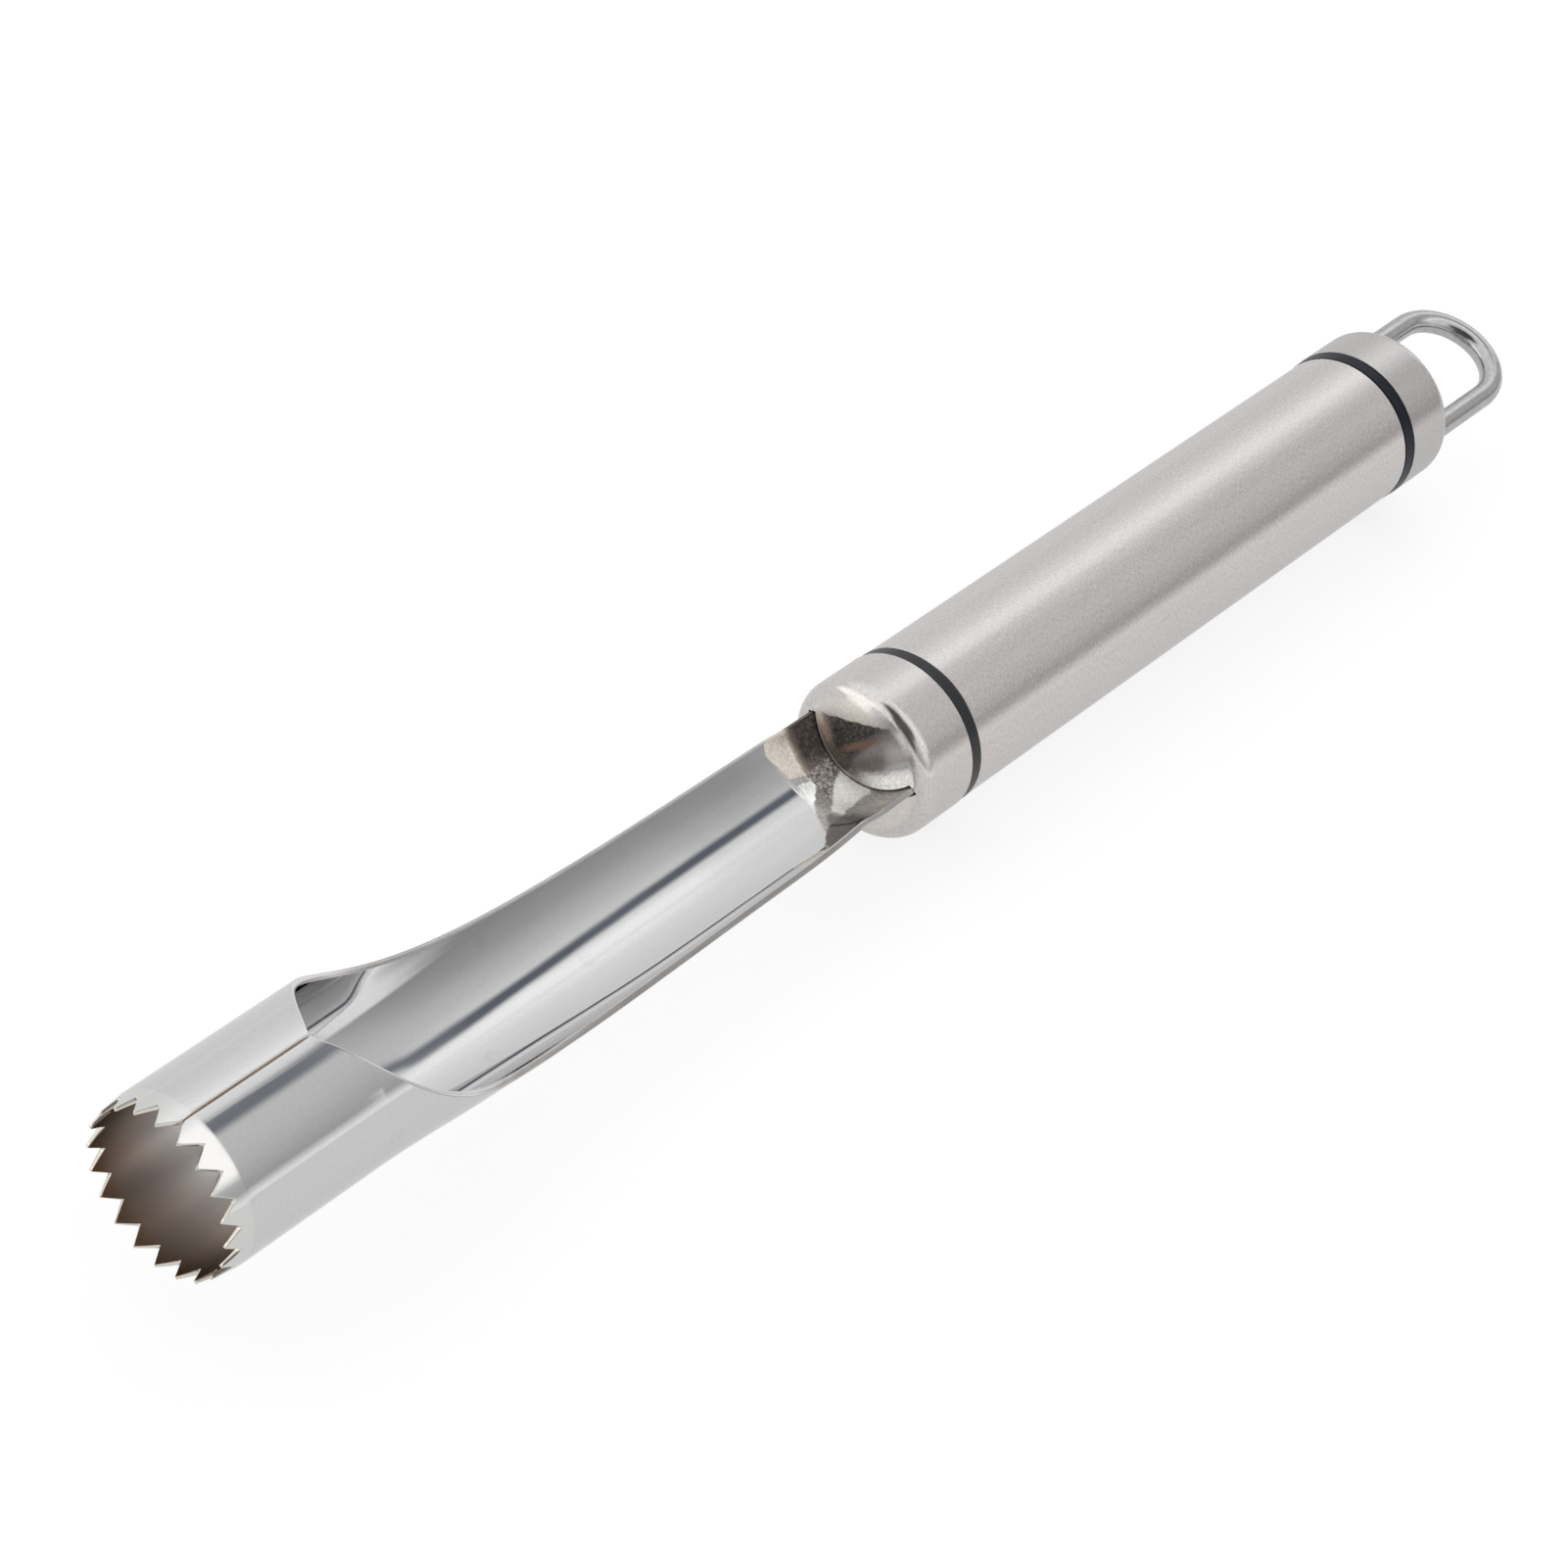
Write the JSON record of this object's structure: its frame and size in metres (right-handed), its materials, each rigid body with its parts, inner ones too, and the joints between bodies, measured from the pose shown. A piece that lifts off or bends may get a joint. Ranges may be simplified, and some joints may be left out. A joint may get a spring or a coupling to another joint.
{
  "type": "apple corer",
  "caption": "Apple corer: a rolled toothed coring tube that opens into a long curved trough, on a round steel handle with domed caps, dark rings and a wire hanging loop.",
  "frame": {"origin": "Under the middle of the whole tool, at the height of its lowest point", "axes": "+X runs from the teeth to the hanging loop, along the handle; +Z is the side that the trough opens to; +Y completes a right-handed frame"},
  "size_m": [0.2386, 0.0206, 0.0301],
  "materials": {
    "blade_steel": "mirror polished stainless sheet, matt and heat tinted at the neck",
    "cap_steel": "satin brushed round the side",
    "handle_steel": "fine satin brushing",
    "wire_steel": "polished wire",
    "inner_steel": "plain cut sheet",
    "ring_plastic": "dark moulded plastic",
    "plug_plastic": "dark moulded plastic"
  },
  "bodies": {
    "root": {"blade": "blade_steel", "blade_anchor": "inner_steel", "front_cap": "cap_steel", "front_ring": "ring_plastic", "front_plug": "plug_plastic", "handle_tube": "handle_steel", "rear_plug": "plug_plastic", "rear_ring": "ring_plastic", "rear_cap": "cap_steel", "loop_anchor": "inner_steel", "hanging_loop": "wire_steel"}
  },
  "joints": []
}
